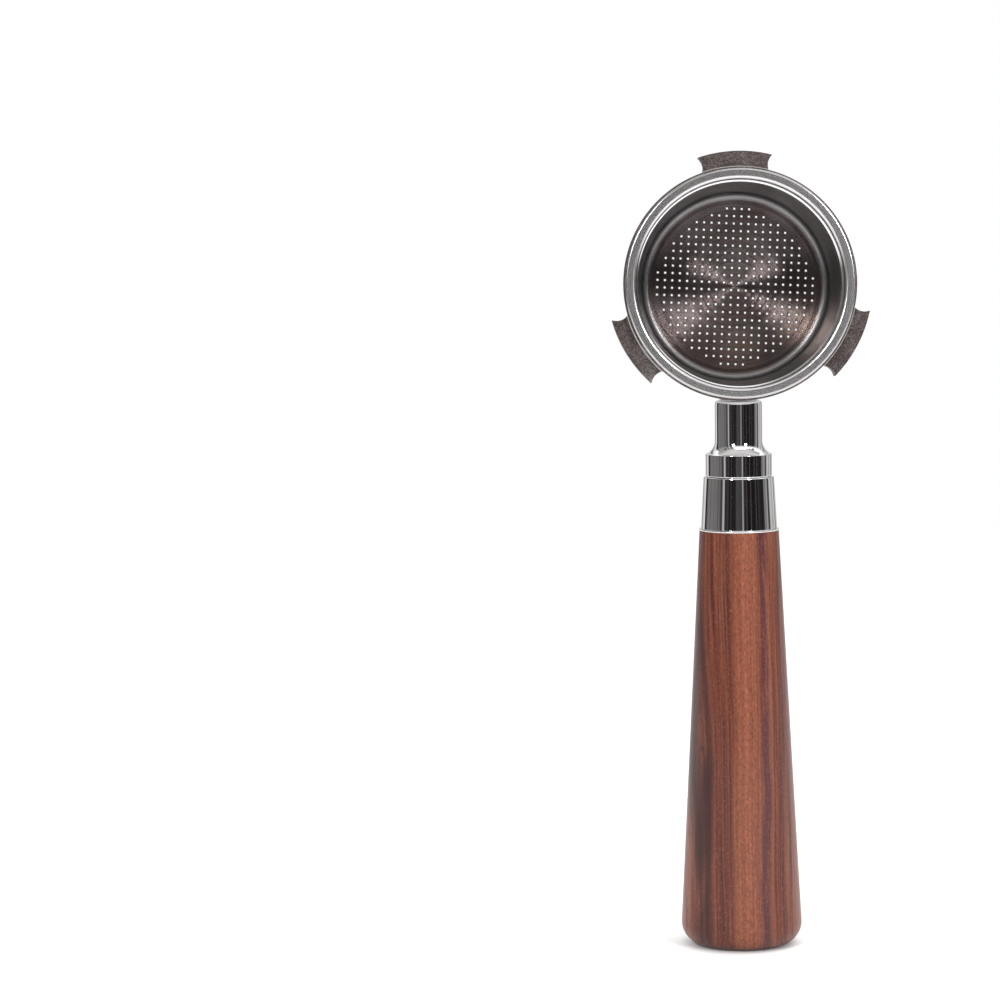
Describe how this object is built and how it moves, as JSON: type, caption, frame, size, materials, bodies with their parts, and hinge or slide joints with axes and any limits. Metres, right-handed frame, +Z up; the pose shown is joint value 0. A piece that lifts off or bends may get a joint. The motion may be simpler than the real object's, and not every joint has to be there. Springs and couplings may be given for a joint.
{
  "type": "portafilter",
  "caption": "Bottomless portafilter with an open ring head, bayonet lugs, a removable pierced filter basket, a chromed neck and a screw-on turned wooden grip.",
  "frame": {"origin": "centre of the grip's flat end, on which the part stands", "axes": "+Z up the handle towards the head, -Y out of the basket's mouth (3.7 degrees above level), +X to the right when looking into the basket"},
  "size_m": [0.0684, 0.0326, 0.2142],
  "materials": {
    "steel_satin": "satin, brushed round the axis",
    "steel_dark": "satin",
    "spring_steel": "satin",
    "chrome": "mirror",
    "bright_steel": "polished",
    "zinc_steel": "satin",
    "rosewood": "satin lacquer",
    "brass": "satin"
  },
  "bodies": {
    "head": {"head_ring": "steel_dark", "neck": "chrome", "neck_stud": "zinc_steel"},
    "spring": {"basket_spring": "spring_steel"},
    "basket": {"filter_basket": "steel_satin"},
    "ferrule": {"ferrule": "chrome"},
    "grip": {"grip": "rosewood", "grip_insert": "brass", "trim_ring": "bright_steel"}
  },
  "joints": [
    {"name": "basket_turn", "type": "hinge", "parent": "head", "child": "spring", "pos_m": [0, 0, 0.1784], "axis": [0, -0.9979, 0.0645], "continuous": true},
    {"name": "basket_lift", "type": "slide", "parent": "spring", "child": "basket", "axis": [0, -0.9979, 0.0645], "range_m": [0, 0.032], "deforming": ["basket_spring"]},
    {"name": "ferrule_slide", "type": "slide", "parent": "head", "child": "ferrule", "axis": [0, 0, -1], "range_m": [0, 0.0225]},
    {"name": "grip_unscrew", "type": "hinge", "parent": "ferrule", "child": "grip", "pos_m": [0, 0, 0], "axis": [0, 0, -1], "range_deg": [0, 6480]}
  ],
  "couplings": [
    {"joint": "ferrule_slide", "follows": "grip_unscrew", "m_per_rad": 0.00019894}
  ]
}
